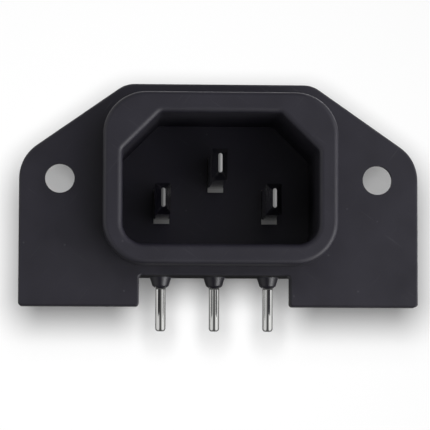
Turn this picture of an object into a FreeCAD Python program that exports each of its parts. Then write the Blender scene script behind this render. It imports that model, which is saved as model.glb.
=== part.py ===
import FreeCAD, Part
import math
import os

from FreeCAD import Vector

# Appliance inlet for a circuit board, in millimetres.
# X runs along the flange, Y runs from the mouth to the rear, Z points up.
# The origin is midway between the two screw holes, on the front face of the flange.

# Flange
hole_spacing = 40.0
hole_diameter = 3.7
screw_land = 1.0  # wall in front of the recess behind each screw hole
screw_recess = 6.5
ear_radius = 5.1  # outline of each ear, round the middle of its screw hole
flange_thickness = 3.0
top_web = 1.6  # flange above the collar
shoulder_slope = 35.0  # degrees from level
shoulder_radius = 3.5
notch_left = 10.0  # the board notch is not quite central between the wings
notch_right = 9.0
notch_web = 1.1  # flange between the collar and the board notch
wing_reach = 3.9  # wings below the roof of the notch
wing_corner = 0.4
flange_edge = 0.2

# Collar and keyed socket
socket_drop = 0.35  # middle of the socket below the screw holes
cavity_width = 24.3
cavity_height = 16.3
cavity_depth = 16.3
cavity_corner = 2.6
key_chamfer = 4.7
key_corner = 0.8
side_wall = 2.45
top_wall = 2.6
bottom_wall = 2.5
back_wall = 1.2
collar_reach = 5.8  # rim in front of the flange
collar_corner = 5.4
rim_outer_edge = 0.6
rim_inner_edge = 0.7

# Terminal chamber behind the socket
chamber_wall = 1.6
partition_thickness = 1.2
rear_edge = 0.4
sole_depth = 0.65  # sole of the rear box, below the line of the collar
sole_overlap = 1.6  # sole past the start of the box's round corners
cover_thickness = 1.8
cover_edge = 0.2
catch_height = 0.6
catch_length = 5.0
catch_depth = 1.0

# Contacts
contact_pitch = 7.0
earth_rise = 4.1  # middle of the earth blade above the other two
blade_thickness = 2.0
blade_height = 4.0
blade_recess = 4.8  # tips of the outer blades behind the rim
earth_lead = 3.0  # tip of the earth blade in front of the other two
tip_thickness = 0.4
tip_height = 2.3
tip_length = 2.2
blade_edge = 0.15
foot_drop = 0.5  # neck below the blade, level with the cavity floor
heel_lip = 0.5  # shoulder round the neck, behind the back wall
heel_margin = 0.6  # heel behind the shank
shank_width = 1.3  # flat strip between the heel and the round tail
shank_thickness = 1.0
shank_reach = 0.15  # strip below the foot of its cone
tail_diameter = 1.35
tail_reach = 5.6  # tail below the foot of its cone
tail_point = 0.4

# Cones that hold the board off the body
cone_height = 2.15
cone_top_diameter = 3.3
cone_foot_diameter = 1.9
cone_edge = 0.35
cone_margin = 0.15  # cone behind the line of the back wall

# Clearances
contact_fit = 0.05
cover_fit = 0.1
flat_limit = 1e-6  # a face or edge that spans less than this is flat

# Places that follow from the sizes above
hole_x = hole_spacing / 2
flange_side = hole_x + ear_radius
socket_z = -socket_drop
cavity_top = socket_z + cavity_height / 2
cavity_bottom = socket_z - cavity_height / 2
collar_side = cavity_width / 2 + side_wall
collar_top = cavity_top + top_wall
collar_bottom = cavity_bottom - bottom_wall
rim_y = -collar_reach
floor_y = rim_y + cavity_depth
chamber_y = floor_y + back_wall
tail_radius = tail_diameter / 2
tail_y = chamber_y + cone_top_diameter / 2 + cone_margin
shank_front = tail_y - shank_thickness / 2
shank_rear = tail_y + shank_thickness / 2
cover_y = shank_rear + heel_margin
rear_y = cover_y + cover_thickness
flange_top = collar_top + top_web
sole_side = collar_side - collar_corner + sole_overlap
sole_z = collar_bottom - sole_depth
notch_z = collar_bottom - notch_web
wing_z = notch_z - wing_reach
chamber_side = collar_side - chamber_wall
chamber_top = collar_top - chamber_wall
chamber_bottom = collar_bottom + chamber_wall
chamber_corner = collar_corner - chamber_wall
board_z = collar_bottom - cone_height
shank_end = board_z - shank_reach
tail_end = board_z - tail_reach
shank_half = shank_width / 2
slot_half = shank_half + contact_fit
outer_blade_z = socket_z - earth_rise / 2
earth_blade_z = socket_z + earth_rise / 2
outer_tip_y = rim_y + blade_recess
earth_tip_y = outer_tip_y - earth_lead
tail_places = (-contact_pitch, 0.0, contact_pitch)


def rounded_outline(corners, y):
    """Closed wire at depth y through corners (x, z, radius), each rounded by a tangent arc."""
    edges = []
    ends = []
    for i, (x, z, radius) in enumerate(corners):
        corner = Vector(x, y, z)
        before = Vector(corners[i - 1][0], y, corners[i - 1][1]) - corner
        after = Vector(corners[(i + 1) % len(corners)][0], y, corners[(i + 1) % len(corners)][1]) - corner
        half_angle = before.getAngle(after) / 2
        before.normalize()
        after.normalize()
        tangent = radius / math.tan(half_angle)
        middle = (before + after).normalize() * (radius / math.sin(half_angle) - radius)
        ends.append((corner + before * tangent, corner + middle, corner + after * tangent))
    for i, (start, middle, end) in enumerate(ends):
        edges.append(Part.Arc(start, middle, end).toShape())
        edges.append(Part.makeLine(end, ends[(i + 1) % len(ends)][0]))
    return Part.Wire(edges)


def prism(wire, depth):
    return Part.Face(wire).extrude(Vector(0, depth, 0))


def block(x0, x1, y0, y1, z0, z1):
    return Part.makeBox(x1 - x0, y1 - y0, z1 - z0, Vector(x0, y0, z0))


def front_face(shape):
    """The flat face that looks towards the mouth, furthest forward."""
    flat = [f for f in shape.Faces if f.BoundBox.YLength < flat_limit]
    return min(flat, key=lambda f: f.BoundBox.YMin)


def rear_face(shape):
    """The flat face that looks away from the mouth, furthest back."""
    flat = [f for f in shape.Faces if f.BoundBox.YLength < flat_limit]
    return max(flat, key=lambda f: f.BoundBox.YMin)


def flange_outline(y):
    slope = math.radians(shoulder_slope)
    ear_z = ear_radius * math.tan((math.pi / 2 - slope) / 2)
    shoulder_x = flange_side - (flange_top - ear_z) / math.tan(slope)
    return rounded_outline(
        [
            (-flange_side, wing_z, wing_corner),
            (-flange_side, ear_z, ear_radius),
            (-shoulder_x, flange_top, shoulder_radius),
            (shoulder_x, flange_top, shoulder_radius),
            (flange_side, ear_z, ear_radius),
            (flange_side, wing_z, wing_corner),
            (notch_right, wing_z, wing_corner),
            (notch_right, notch_z, wing_corner),
            (-notch_left, notch_z, wing_corner),
            (-notch_left, wing_z, wing_corner),
        ],
        y,
    )


def box_outline(side, top, bottom, radius, y):
    return rounded_outline(
        [(-side, bottom, radius), (-side, top, radius), (side, top, radius), (side, bottom, radius)], y
    )


def cavity_outline(y):
    side = cavity_width / 2
    return rounded_outline(
        [
            (-side, cavity_bottom, cavity_corner),
            (-side, cavity_top - key_chamfer, key_corner),
            (-side + key_chamfer, cavity_top, key_corner),
            (side - key_chamfer, cavity_top, key_corner),
            (side, cavity_top - key_chamfer, key_corner),
            (side, cavity_bottom, cavity_corner),
        ],
        y,
    )


def flange():
    """Plate with a broken front edge, two screw holes recessed from behind, and the way for the socket."""
    plate = prism(flange_outline(0), flange_thickness)
    plate = plate.makeChamfer(flange_edge, front_face(plate).OuterWire.Edges)
    cuts = [prism(cavity_outline(0), flange_thickness)]
    for x in (-hole_x, hole_x):
        rearward = Vector(0, 1, 0)
        cuts.append(Part.makeCylinder(hole_diameter / 2, flange_thickness, Vector(x, 0, 0), rearward))
        land = Vector(x, screw_land, 0)
        cuts.append(Part.makeCylinder(screw_recess / 2, flange_thickness - screw_land, land, rearward))
    return plate.cut(cuts)


def socket_shell():
    """Collar and rear box in one straight run, with the keyed cavity in front and a rounded rim."""
    shell = prism(box_outline(collar_side, collar_top, collar_bottom, collar_corner, rim_y), rear_y - rim_y)
    shell = shell.makeFillet(rim_outer_edge, front_face(shell).OuterWire.Edges)
    shell = shell.makeFillet(rear_edge, rear_face(shell).OuterWire.Edges)
    shell = shell.cut(prism(cavity_outline(rim_y), cavity_depth))
    rim = front_face(shell)
    mouth = min(rim.Wires, key=lambda w: w.BoundBox.DiagonalLength)
    return shell.makeFillet(rim_inner_edge, mouth.Edges)


def sole():
    """Flat pad under the rear box, from the flange to the rear, that the cones stand out from."""
    in_wall = collar_bottom + chamber_wall / 2
    return block(-sole_side, sole_side, flange_thickness, rear_y, sole_z, in_wall)


def tail_cone(x):
    cone = Part.makeCone(
        cone_top_diameter / 2,
        cone_foot_diameter / 2,
        cone_height,
        Vector(x, tail_y, collar_bottom),
        Vector(0, 0, -1),
    )
    foot = [e for e in cone.Edges if e.BoundBox.ZMax < board_z + flat_limit]
    return cone.makeChamfer(cone_edge, foot)


def tail_slot(x):
    """Way of a shank through the bottom wall and its cone, open to the rear."""
    return block(x - slot_half, x + slot_half, shank_front - contact_fit, rear_y, board_z, chamber_bottom)


def neck_slot(x, z):
    half_x = blade_thickness / 2 + contact_fit
    half_z = blade_height / 2 + contact_fit
    return block(x - half_x, x + half_x, floor_y, chamber_y, z - half_z - foot_drop, z + half_z)


def catch_window(side):
    front = cover_y + (cover_thickness - catch_depth) / 2 - contact_fit
    half = catch_length / 2 + contact_fit
    near, far = sorted((side * (chamber_side - chamber_wall), side * (collar_side + chamber_wall)))
    return block(
        near, far, front, front + catch_depth + 2 * contact_fit, socket_z - half, socket_z + half
    )


def housing():
    body = socket_shell().fuse([flange(), sole()] + [tail_cone(x) for x in tail_places])
    chamber_wire = box_outline(chamber_side, chamber_top, chamber_bottom, chamber_corner, chamber_y)
    chamber = prism(chamber_wire, rear_y - chamber_y)
    half = partition_thickness / 2
    for x in (-contact_pitch / 2, contact_pitch / 2):
        chamber = chamber.cut(block(x - half, x + half, chamber_y, cover_y, collar_bottom, collar_top))
    cuts = [chamber]
    cuts += [tail_slot(x) for x in tail_places]
    cuts += [neck_slot(x, outer_blade_z) for x in (-contact_pitch, contact_pitch)]
    cuts += [neck_slot(0, earth_blade_z)]
    cuts += [catch_window(side) for side in (-1, 1)]
    return body.cut(cuts).removeSplitter()


def contact(x, z, tip_y):
    """Blade with a bevelled tip, a neck in the back wall, a heel seated behind it, a shank and a tail."""
    left = x - blade_thickness / 2
    right = x + blade_thickness / 2
    top = z + blade_height / 2
    bottom = z - blade_height / 2
    foot = bottom - foot_drop
    bar_y = tip_y + tip_length
    tip = Part.makeWedge(
        x - tip_thickness / 2,
        tip_y,
        z - tip_height / 2,
        bottom,
        left,
        x + tip_thickness / 2,
        bar_y,
        z + tip_height / 2,
        top,
        right,
    )
    blade = tip.fuse(block(left, right, bar_y, floor_y, bottom, top)).removeSplitter()
    root = rear_face(blade)
    free_edges = [e for e in blade.Edges if not any(e.isSame(r) for r in root.Edges)]
    blade = blade.makeChamfer(blade_edge, free_edges)
    neck = block(left, right, floor_y, chamber_y, foot, top)
    heel = block(left - heel_lip, right + heel_lip, chamber_y, cover_y, foot - heel_lip, top + heel_lip)
    shank = block(x - shank_half, x + shank_half, shank_front, shank_rear, shank_end, z)
    tail = Part.makeCylinder(tail_radius, shank_end - tail_end, Vector(x, tail_y, tail_end))
    point = [e for e in tail.Edges if e.BoundBox.ZMax < tail_end + tail_point]
    tail = tail.makeFillet(tail_point, point)
    return blade.fuse([neck, heel, shank, tail]).removeSplitter()


def rear_cover():
    """Plate that fills the rear of the chamber, with a tongue behind each tail and a catch at each side."""
    plate = prism(
        box_outline(
            chamber_side - cover_fit,
            chamber_top - cover_fit,
            chamber_bottom + cover_fit,
            chamber_corner - cover_fit,
            cover_y,
        ),
        cover_thickness,
    )
    plate = plate.makeChamfer(cover_edge, rear_face(plate).OuterWire.Edges)
    pieces = []
    tongue_y = shank_rear + contact_fit
    for x in tail_places:
        left = x - shank_half
        right = x + shank_half
        pieces.append(block(left, right, tongue_y, rear_y, sole_z, chamber_bottom))
        pieces.append(block(left, right, cover_y, rear_y, sole_z, socket_z))
        behind_tail = block(left, right, tongue_y, rear_y, board_z, sole_z)
        pieces.append(tail_cone(x).common(behind_tail))
    catch_y = cover_y + (cover_thickness - catch_depth) / 2
    for side in (-1, 1):
        edge = side * (chamber_side - cover_fit)
        root = side * (chamber_side - chamber_wall)
        foot = socket_z - catch_length / 2
        wedge = Part.makePolygon(
            [
                Vector(root, catch_y, foot),
                Vector(edge, catch_y, foot),
                Vector(edge + side * catch_height, catch_y + catch_depth, foot),
                Vector(root, catch_y + catch_depth, foot),
                Vector(root, catch_y, foot),
            ]
        )
        pieces.append(Part.Face(wedge).extrude(Vector(0, 0, catch_length)))
    return plate.fuse(pieces).removeSplitter()


parts = {
    "housing": housing(),
    "rear_cover": rear_cover(),
    "left_contact": contact(-contact_pitch, outer_blade_z, outer_tip_y),
    "right_contact": contact(contact_pitch, outer_blade_z, outer_tip_y),
    "earth_contact": contact(0.0, earth_blade_z, earth_tip_y),
}

os.makedirs("parts", exist_ok=True)
for name, shape in parts.items():
    shape.exportStep("parts/" + name + ".step")
    print(name, "solids", len(shape.Solids), "valid", shape.isValid(), "volume", round(shape.Volume, 2))
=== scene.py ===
import math

import bpy
from mathutils import Matrix, Vector


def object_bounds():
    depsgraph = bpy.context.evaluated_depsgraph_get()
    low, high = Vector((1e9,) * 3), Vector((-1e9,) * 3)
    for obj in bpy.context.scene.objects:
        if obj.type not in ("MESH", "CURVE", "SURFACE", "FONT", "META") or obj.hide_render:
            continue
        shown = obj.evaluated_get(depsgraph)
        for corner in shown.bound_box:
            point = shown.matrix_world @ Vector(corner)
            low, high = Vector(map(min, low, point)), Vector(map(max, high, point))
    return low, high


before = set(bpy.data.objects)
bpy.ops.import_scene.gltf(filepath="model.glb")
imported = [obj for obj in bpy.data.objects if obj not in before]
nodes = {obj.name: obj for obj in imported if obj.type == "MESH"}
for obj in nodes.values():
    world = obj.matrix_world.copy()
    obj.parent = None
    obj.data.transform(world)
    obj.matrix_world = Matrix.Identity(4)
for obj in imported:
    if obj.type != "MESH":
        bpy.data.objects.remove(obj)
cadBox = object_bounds()
scene = bpy.context.scene
mm = 0.001
print("frame loaded:", ", ".join(sorted(nodes)))

# Places of the sockets on a colour Mix node, where several share one name.
mixFactor = 0
mixFirst = 6
mixSecond = 7
mixResult = 2


def hexToLinear(colour):  # "#rrggbb" as in a paint program, to the linear values that shaders use
    parts = [int(colour[i:i + 2], 16) / 255 for i in (1, 3, 5)]
    return [c / 12.92 if c <= 0.04045 else ((c + 0.055) / 1.055) ** 2.4 for c in parts] + [1.0]


def addNode(tree, kind, settings=None, inputs=None):  # inputs go by name, or by place if names repeat
    node = tree.nodes.new(kind)
    for name, value in (settings or {}).items():
        setattr(node, name, value)
    for name, value in (inputs or {}).items():
        if isinstance(value, bpy.types.NodeSocket):
            tree.links.new(value, node.inputs[name])
        else:
            node.inputs[name].default_value = value
    return node


def newMaterial(name):
    material = bpy.data.materials.new(name)
    material.use_nodes = True
    material.node_tree.nodes.clear()
    return material, material.node_tree


def perMetre(sizeInMm):  # texture scale that gives features of this size
    return 1 / (sizeInMm * mm)


# Black thermoplastic polyester, moulded in a spark-eroded tool: a dead, even black with a slightly
# violet cast, a dull sheen that spreads over the faces, soft lines of light on the edges, and a few
# pale scuffs and dust specks from handling. The roof of the board notch has painted shade, a darker
# colour than the rest where the flange shades it, and hardly shines, and the cones come smooth out
# of drilled pockets and shine more. Lengths are in mm.
polyester = {
    "dark": "#14121b",
    "light": "#1d1b27",
    "roughness": (0.5, 0.62),
    "ior": 1.5,
    "specular": 0.5,
    "grain": 0.32,  # real grain is near 0.05 mm, drawn coarser so that it shows
    "grainDetail": 2.0,
    "grainDepth": 0.01,
    "grainStrength": 0.5,
    "cloud": 5.0,  # slow change of shade and gloss across the faces
    "cloudDetail": 4.0,
    "cloudSpread": (0.3, 0.7),  # noise values between which the gloss changes
    "fineShare": 0.6,  # weight of the finer noise in grain and clouds
    "scuff": "#3c3b41",
    "scratch": 0.25,  # real scratches are near 0.05 mm wide, drawn coarser so that they show
    "scratchLength": 5.0,
    "scratchTurns": (35, -52),  # degrees
    "scratchDetail": 1.0,
    "scratchSpread": (0.68, 0.8),  # noise values between which a scratch comes in
    "scratchStrength": 0.3,
    "dust": "#4c4b51",
    "speck": 2.6,  # mean distance of dust specks
    "speckSpread": (0.03, 0.06),  # where a speck starts to fade and where it ends, in mean distances
    "speckStrength": 0.4,
    "roof": (-12.6, -11.5),  # heights between which the faces that look down are the notch's roof
    "roofFacing": -0.9,  # a face looks down if the upward part of its normal is under this
    # painted shade: the colour of the notch's roof, darkened where the flange shades it
    "roofPaintedShade": "#0b0a0f",
    "roofSpecular": 0.08,
    "coneTop": -11.75,  # height below which, behind the flange, there are only the cones
    "coneFront": 3.1,
    "coneRoughness": 0.38,
}


def addScratches(tree, place, colour, facts):
    thin = perMetre(facts["scratch"])
    long = perMetre(facts["scratchLength"])
    start, full = facts["scratchSpread"]
    for turn in facts["scratchTurns"]:
        turned = addNode(tree, "ShaderNodeMapping", {"vector_type": "TEXTURE"}, {
            "Vector": place, "Rotation": (0, math.radians(turn), 0)})
        along = addNode(tree, "ShaderNodeMapping", None, {
            "Vector": turned.outputs["Vector"], "Scale": (long, thin, thin)})
        lines = addNode(tree, "ShaderNodeTexNoise", None, {
            "Vector": along.outputs["Vector"], "Scale": 1.0, "Detail": facts["scratchDetail"]})
        scuffed = addNode(tree, "ShaderNodeMapRange", None, {
            "Value": lines.outputs["Fac"], "From Min": start, "From Max": full,
            "To Max": facts["scratchStrength"]})
        mixed = addNode(tree, "ShaderNodeMix", {"data_type": "RGBA"}, {
            mixFactor: scuffed.outputs[0], mixFirst: colour, mixSecond: hexToLinear(facts["scuff"])})
        colour = mixed.outputs[mixResult]
    return colour


def addSpecks(tree, place, colour, facts):
    full, end = facts["speckSpread"]
    cells = addNode(tree, "ShaderNodeTexVoronoi", None, {
        "Vector": place, "Scale": perMetre(facts["speck"])})
    speck = addNode(tree, "ShaderNodeMapRange", None, {
        "Value": cells.outputs["Distance"], "From Min": full, "From Max": end,
        "To Min": facts["speckStrength"], "To Max": 0.0})
    mixed = addNode(tree, "ShaderNodeMix", {"data_type": "RGBA"}, {
        mixFactor: speck.outputs[0], mixFirst: colour, mixSecond: hexToLinear(facts["dust"])})
    return mixed.outputs[mixResult]


def markCones(tree, place, facts):  # 1 on the cones, 0 elsewhere
    spot = addNode(tree, "ShaderNodeSeparateXYZ", None, {"Vector": place}).outputs
    below = addNode(tree, "ShaderNodeMath", {"operation": "LESS_THAN"}, {
        0: spot["Z"], 1: facts["coneTop"] * mm})
    behind = addNode(tree, "ShaderNodeMath", {"operation": "GREATER_THAN"}, {
        0: spot["Y"], 1: facts["coneFront"] * mm})
    both = addNode(tree, "ShaderNodeMath", {"operation": "MULTIPLY"}, {
        0: below.outputs[0], 1: behind.outputs[0]})
    return both.outputs[0]


def markRoof(tree, place, facts):  # 1 on the roof of the notch, 0 elsewhere
    height = addNode(tree, "ShaderNodeSeparateXYZ", None, {"Vector": place}).outputs["Z"]
    facing = addNode(tree, "ShaderNodeNewGeometry").outputs["Normal"]
    upward = addNode(tree, "ShaderNodeSeparateXYZ", None, {"Vector": facing}).outputs["Z"]
    down = addNode(tree, "ShaderNodeMath", {"operation": "LESS_THAN"}, {
        0: upward, 1: facts["roofFacing"]})
    low, high = facts["roof"]
    level = addNode(tree, "ShaderNodeMath", {"operation": "COMPARE"}, {
        0: height, 1: (low + high) / 2 * mm, 2: (high - low) / 2 * mm})
    both = addNode(tree, "ShaderNodeMath", {"operation": "MULTIPLY"}, {
        0: down.outputs[0], 1: level.outputs[0]})
    return both.outputs[0]


def makePolyester(name, facts):
    material, tree = newMaterial(name)
    place = addNode(tree, "ShaderNodeTexCoord").outputs["Object"]
    onCone = markCones(tree, place, facts)
    onRoof = markRoof(tree, place, facts)
    cloud = addNode(tree, "ShaderNodeTexNoise", None, {
        "Vector": place, "Scale": perMetre(facts["cloud"]),
        "Detail": facts["cloudDetail"], "Roughness": facts["fineShare"]})
    shade = addNode(tree, "ShaderNodeMix", {"data_type": "RGBA"}, {
        mixFactor: cloud.outputs["Fac"],
        mixFirst: hexToLinear(facts["dark"]), mixSecond: hexToLinear(facts["light"])})
    worn = addScratches(tree, place, shade.outputs[mixResult], facts)
    worn = addSpecks(tree, place, worn, facts)
    # painted shade on the roof of the notch
    colour = addNode(tree, "ShaderNodeMix", {"data_type": "RGBA"}, {
        mixFactor: onRoof, mixFirst: worn, mixSecond: hexToLinear(facts["roofPaintedShade"])})
    gloss = addNode(tree, "ShaderNodeMapRange", None, {
        "Value": cloud.outputs["Fac"],
        "From Min": facts["cloudSpread"][0], "From Max": facts["cloudSpread"][1],
        "To Min": facts["roughness"][0], "To Max": facts["roughness"][1]})
    roughness = addNode(tree, "ShaderNodeMapRange", None, {
        "Value": onCone, "To Min": gloss.outputs[0], "To Max": facts["coneRoughness"]})
    specular = addNode(tree, "ShaderNodeMapRange", None, {
        "Value": onRoof, "To Min": facts["specular"], "To Max": facts["roofSpecular"]})
    grain = addNode(tree, "ShaderNodeTexNoise", None, {
        "Vector": place, "Scale": perMetre(facts["grain"]),
        "Detail": facts["grainDetail"], "Roughness": facts["fineShare"]})
    bump = addNode(tree, "ShaderNodeBump", None, {
        "Height": grain.outputs["Fac"], "Strength": facts["grainStrength"],
        "Distance": facts["grainDepth"] * mm})
    shader = addNode(tree, "ShaderNodeBsdfPrincipled", None, {
        "Base Color": colour.outputs[mixResult], "Roughness": roughness.outputs[0],
        "Normal": bump.outputs["Normal"], "IOR": facts["ior"],
        "Specular IOR Level": specular.outputs[0]})
    addNode(tree, "ShaderNodeOutputMaterial", None, {"Surface": shader.outputs["BSDF"]})
    return material


# Brass strip, stamped and nickel plated: a pale grey metal. The round tails are drawn bright, the
# blades have fine streaks along them, and their sheared ends are dull and scatter the light. Depths
# are mm behind the front face of the flange.
nickel = {
    "colour": "#dededd",
    "roughness": 0.24,
    "tailColour": "#f0f0ee",
    "tailRoughness": 0.09,
    "tailDepth": 12.6,  # the round tails are behind this
    "endColoursWithPaintedLight": {  # each blade's end grey differs only as painted light and shade: the left end painted darker, the right end painted lighter
        "left": "#818181",
        "earth": "#9e9e9e",
        "right": "#b3b3b3",
    },
    "endMetal": 0.35,
    "endRoughness": 0.6,
    "endFacing": -0.6,  # a face is an end if the rearward part of its normal is under this
    "tipDepth": 0.0,  # the sheared tips are all in front of this
    "footDepth": 10.0,  # the feet of the blades are behind this, and less dull
    "footShare": 0.3,
    "streak": 0.12,
    "streakLength": 4.0,
    "streakDetail": 2.0,
    "streakDepth": 0.004,
    "streakStrength": 0.5,
}


def markEnds(tree, depth, onBlade, facts):  # 1 on the sheared tips, less on the feet, 0 elsewhere
    facing = addNode(tree, "ShaderNodeNewGeometry").outputs["Normal"]
    rearward = addNode(tree, "ShaderNodeSeparateXYZ", None, {"Vector": facing}).outputs["Y"]
    flatEnd = addNode(tree, "ShaderNodeMath", {"operation": "LESS_THAN"}, {
        0: rearward, 1: facts["endFacing"]})
    share = addNode(tree, "ShaderNodeMapRange", None, {
        "Value": depth, "From Min": facts["tipDepth"] * mm, "From Max": facts["footDepth"] * mm,
        "To Min": 1.0, "To Max": facts["footShare"]})
    dull = addNode(tree, "ShaderNodeMath", {"operation": "MULTIPLY"}, {
        0: flatEnd.outputs[0], 1: share.outputs[0]})
    bladeOnly = addNode(tree, "ShaderNodeMath", {"operation": "MULTIPLY"}, {
        0: dull.outputs[0], 1: onBlade})
    return bladeOnly.outputs[0]


def makeNickel(name, facts, endColourWithPaintedLight):
    material, tree = newMaterial(name)
    place = addNode(tree, "ShaderNodeTexCoord").outputs["Object"]
    depth = addNode(tree, "ShaderNodeSeparateXYZ", None, {"Vector": place}).outputs["Y"]
    onBlade = addNode(tree, "ShaderNodeMath", {"operation": "LESS_THAN"}, {
        0: depth, 1: facts["tailDepth"] * mm}).outputs[0]
    dull = markEnds(tree, depth, onBlade, facts)
    plating = addNode(tree, "ShaderNodeMix", {"data_type": "RGBA"}, {
        mixFactor: onBlade,
        mixFirst: hexToLinear(facts["tailColour"]), mixSecond: hexToLinear(facts["colour"])})
    # the end colour carries painted light and shade, which differs from blade to blade
    colour = addNode(tree, "ShaderNodeMix", {"data_type": "RGBA"}, {
        mixFactor: dull, mixFirst: plating.outputs[mixResult], mixSecond: hexToLinear(endColourWithPaintedLight)})
    metal = addNode(tree, "ShaderNodeMapRange", None, {
        "Value": dull, "To Min": 1.0, "To Max": facts["endMetal"]})
    bright = addNode(tree, "ShaderNodeMapRange", None, {
        "Value": onBlade, "To Min": facts["tailRoughness"], "To Max": facts["roughness"]})
    roughness = addNode(tree, "ShaderNodeMapRange", None, {
        "Value": dull, "To Min": bright.outputs[0], "To Max": facts["endRoughness"]})
    thin = perMetre(facts["streak"])
    along = addNode(tree, "ShaderNodeMapping", None, {
        "Vector": place, "Scale": (thin, perMetre(facts["streakLength"]), thin)})
    streak = addNode(tree, "ShaderNodeTexNoise", None, {
        "Vector": along.outputs["Vector"], "Scale": 1.0, "Detail": facts["streakDetail"]})
    strength = addNode(tree, "ShaderNodeMath", {"operation": "MULTIPLY"}, {
        0: onBlade, 1: facts["streakStrength"]})
    bump = addNode(tree, "ShaderNodeBump", None, {
        "Height": streak.outputs["Fac"], "Strength": strength.outputs[0],
        "Distance": facts["streakDepth"] * mm})
    shader = addNode(tree, "ShaderNodeBsdfPrincipled", None, {
        "Base Color": colour.outputs[mixResult], "Metallic": metal.outputs[0],
        "Roughness": roughness.outputs[0], "Normal": bump.outputs["Normal"]})
    addNode(tree, "ShaderNodeOutputMaterial", None, {"Surface": shader.outputs["BSDF"]})
    return material


blackPolyester = makePolyester("moulded black polyester", polyester)
# one nickel material per blade, only so that each end gets its own painted light and shade
platedBrass = {
    side + "_contact": makeNickel("nickel plated stamped brass " + side, nickel, colour)
    for side, colour in nickel["endColoursWithPaintedLight"].items()}
for name, node in nodes.items():
    node.data.materials.clear()
    node.data.materials.append(platedBrass.get(name, blackPolyester))
print("materials on", len(nodes), "nodes")


# Matt white paper for the floor and the backdrop, seen from its own side only. It takes the lamps'
# shadows, and throws no light back.
paper = {
    "colour": "#f2f2f2",
    "size": 1200.0,  # mm
    "gap": 40.0,  # from the back of the socket to the backdrop
}


def makePaper(name, facts):
    material, tree = newMaterial(name)
    front = addNode(tree, "ShaderNodeBsdfDiffuse", None, {"Color": hexToLinear(facts["colour"])})
    clear = addNode(tree, "ShaderNodeBsdfTransparent")
    side = addNode(tree, "ShaderNodeNewGeometry").outputs["Backfacing"]
    sheet = addNode(tree, "ShaderNodeMixShader", None, {
        0: side, 1: front.outputs["BSDF"], 2: clear.outputs["BSDF"]})
    addNode(tree, "ShaderNodeOutputMaterial", None, {"Surface": sheet.outputs["Shader"]})
    return material


def addSheet(name, middle, normal, size, material):
    half = size / 2 * mm
    corners = [(-half, -half, 0), (half, -half, 0), (half, half, 0), (-half, half, 0)]
    mesh = bpy.data.meshes.new(name)
    mesh.from_pydata(corners, [], [(0, 1, 2, 3)])
    mesh.materials.append(material)
    sheet = bpy.data.objects.new(name, mesh)
    turn = Vector(normal).to_track_quat("Z", "Y").to_matrix().to_4x4()
    sheet.matrix_world = Matrix.Translation(middle) @ turn
    scene.collection.objects.link(sheet)
    sheet.visible_shadow = False
    sheet.visible_diffuse = False
    sheet.visible_glossy = False
    return sheet


whitePaper = makePaper("matt white paper", paper)
lowCorner, highCorner = cadBox
behind = highCorner.y + paper["gap"] * mm
floor = addSheet("floor", (0, 0, lowCorner.z), (0, 0, 1), paper["size"], whitePaper)
backdrop = addSheet("backdrop", (0, behind, 0), (0, -1, 0), paper["size"], whitePaper)
print("stage made")


# Soft studio lamps, by what they light. A direction is in degrees to the right of and above the
# socket's axis, lengths are in mm. The washes throw the socket's soft shadow on the backdrop all round
# it. The dome and the rear lamp light the socket from both ends and aren't mirrored in it. The lamps
# on the moulding only draw its sheen and the lines of light on its edges.
lamps = {
    "backdrop": {
        "wash": {"side": -2.5, "above": -3.4, "distance": 278, "size": 39, "watts": 0.97},
        "highWash": {"side": -2.5, "above": 0, "distance": 278, "size": 39, "watts": 0.13},
    },
    "floor": {
        "top": {"side": 0, "above": 70, "distance": 1500, "size": 640, "watts": 20},
    },
    "socket": {
        "dome": {"side": 45, "above": 0, "distance": 500, "size": 1000, "watts": 5.2},
        "rear": {"side": 150, "above": 35, "distance": 700, "size": 350, "watts": 5.4},
    },
    "moulding": {
        "edge": {"side": 60, "above": -15, "distance": 400, "size": 150, "watts": 0.8},
        "lowRight": {"side": 50, "above": -40, "distance": 500, "size": 300, "watts": 1.1},
        "left": {"side": -60, "above": 0, "distance": 500, "size": 300, "watts": 0.3},
        "front": {"side": 0, "above": 35, "distance": 500, "size": 300, "watts": 0.16},
        "rearSheen": {"side": 165, "above": 20, "distance": 500, "size": 400, "watts": 0.9},
    },
}
receivers = {
    "backdrop": [backdrop],
    "floor": [floor],
    "socket": nodes.values(),
    "moulding": [nodes["housing"], nodes["rear_cover"]],
}


def addGroup(name, members):
    group = bpy.data.collections.new(name)
    for member in members:
        group.objects.link(member)
    return group


def addLamp(name, facts, target, group):
    side = math.radians(facts["side"])
    above = math.radians(facts["above"])
    level = math.cos(above)
    direction = Vector((math.sin(side) * level, -math.cos(side) * level, math.sin(above)))
    data = bpy.data.lights.new(name, "AREA")
    data.shape = "DISK"
    data.size = facts["size"] * mm
    data.energy = facts["watts"]
    lamp = bpy.data.objects.new(name, data)
    lamp.location = direction * facts["distance"] * mm
    lamp.rotation_euler = direction.to_track_quat("Z", "Y").to_euler()
    lamp.light_linking.receiver_collection = group
    lamp.visible_camera = False
    lamp.visible_diffuse = target != "moulding"  # only sheen there
    lamp.visible_glossy = target != "socket"  # not mirrored there
    scene.collection.objects.link(lamp)


for target, members in receivers.items():
    group = addGroup("lit " + target, members)
    for name, facts in lamps[target].items():
        addLamp(name, facts, target, group)


# A white room, as the camera sees it, that lights all sides a little. What shines back from it has a
# dark strip behind the camera, from floor to ceiling. It is dark low down behind the socket, bright
# high up there, and whitest at the right.
room = {
    "white": 1.0,
    "soft": 0.2,
    "left": 0.8,
    "right": 1.0,
    "wallSpread": 0.8,  # sideways part of a direction that reaches the full left and right
    "strip": 0.1,
    "stripCore": 15,  # degrees to each side
    "stripEdge": 36,
    "behind": (0.15, 1.3),  # level and below, and high up
    "behindTop": 30,  # degrees above the axis
    "behindSpread": 0.4,  # rearward part of a direction that is fully behind
}


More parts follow.
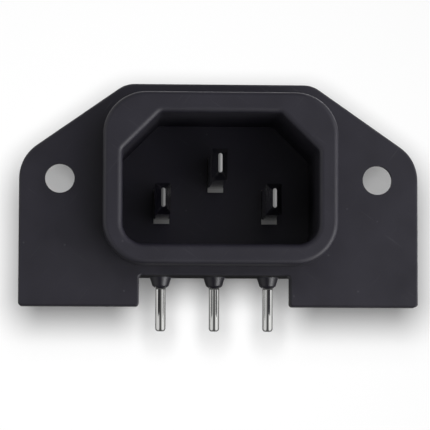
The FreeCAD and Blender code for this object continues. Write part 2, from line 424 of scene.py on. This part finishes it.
def addRoom(facts):
    world = bpy.data.worlds.new("white room")
    world.use_nodes = True
    tree = world.node_tree
    tree.nodes.clear()
    towards = addNode(tree, "ShaderNodeTexCoord").outputs["Generated"]
    parts = addNode(tree, "ShaderNodeSeparateXYZ", None, {"Vector": towards}).outputs
    walls = addNode(tree, "ShaderNodeMapRange", None, {
        "Value": parts["X"], "From Min": -facts["wallSpread"], "From Max": facts["wallSpread"],
        "To Min": facts["left"], "To Max": facts["right"]})
    sideways = addNode(tree, "ShaderNodeMath", {"operation": "ABSOLUTE"}, {0: parts["X"]})
    beside = addNode(tree, "ShaderNodeMapRange", {"interpolation_type": "SMOOTHSTEP"}, {
        "Value": sideways.outputs[0], "From Min": math.sin(math.radians(facts["stripCore"])),
        "From Max": math.sin(math.radians(facts["stripEdge"]))})
    ahead = addNode(tree, "ShaderNodeMapRange", None, {
        "Value": beside.outputs[0], "To Min": facts["strip"], "To Max": walls.outputs[0]})
    rear = addNode(tree, "ShaderNodeMapRange", None, {
        "Value": parts["Z"], "From Max": math.sin(math.radians(facts["behindTop"])),
        "To Min": facts["behind"][0], "To Max": facts["behind"][1]})
    past = addNode(tree, "ShaderNodeMapRange", None, {
        "Value": parts["Y"], "From Min": 0.0, "From Max": facts["behindSpread"]})
    shine = addNode(tree, "ShaderNodeMapRange", None, {
        "Value": past.outputs[0], "To Min": ahead.outputs[0], "To Max": rear.outputs[0]})
    path = addNode(tree, "ShaderNodeLightPath").outputs
    mirrored = addNode(tree, "ShaderNodeMath", {"operation": "MAXIMUM"}, {
        0: path["Is Glossy Ray"], 1: path["Is Transmission Ray"]})
    light = addNode(tree, "ShaderNodeMapRange", None, {
        "Value": mirrored.outputs[0], "To Min": facts["soft"], "To Max": shine.outputs[0]})
    level = addNode(tree, "ShaderNodeMapRange", None, {
        "Value": path["Is Camera Ray"], "To Min": light.outputs[0], "To Max": facts["white"]})
    sky = addNode(tree, "ShaderNodeBackground", None, {"Strength": level.outputs[0]})
    addNode(tree, "ShaderNodeOutputWorld", None, {"Surface": sky.outputs["Background"]})
    world.cycles.sampling_method = "NONE"
    scene.world = world


addRoom(room)
scene.view_settings.view_transform = "Standard"
print("lamps:", ", ".join(name for group in lamps.values() for name in group))


# The camera stands a little left of and below the socket's axis, and far off.
cameraFacts = {
    "left": 2.566,  # degrees
    "below": 4.908,
    "roll": 0.185,
    "distance": 316.87,  # mm from the point that it circles
    "circled": (0.0, 0.0, -2.0),
    "aim": (-0.488, 0.0, -4.53),  # middle of the picture, on the flange
    "lens": 210.9,
    "sensor": 36.0,
    "nearest": 10.0,  # mm, and nothing nearer is drawn
}


def addCamera(facts):
    left = math.radians(facts["left"])
    below = math.radians(facts["below"])
    level = math.cos(below)
    towards = Vector((math.sin(left) * level, math.cos(left) * level, math.sin(below)))
    eye = (Vector(facts["circled"]) - towards * facts["distance"]) * mm
    data = bpy.data.cameras.new("camera")
    data.lens = facts["lens"]
    data.sensor_width = facts["sensor"]
    data.clip_start = facts["nearest"] * mm
    camera = bpy.data.objects.new("camera", data)
    look = (Vector(facts["aim"]) * mm - eye).to_track_quat("-Z", "Y").to_matrix().to_4x4()
    roll = Matrix.Rotation(math.radians(facts["roll"]), 4, "Z")
    camera.matrix_world = Matrix.Translation(eye) @ look @ roll
    scene.collection.objects.link(camera)
    scene.camera = camera


addCamera(cameraFacts)
print("camera set")
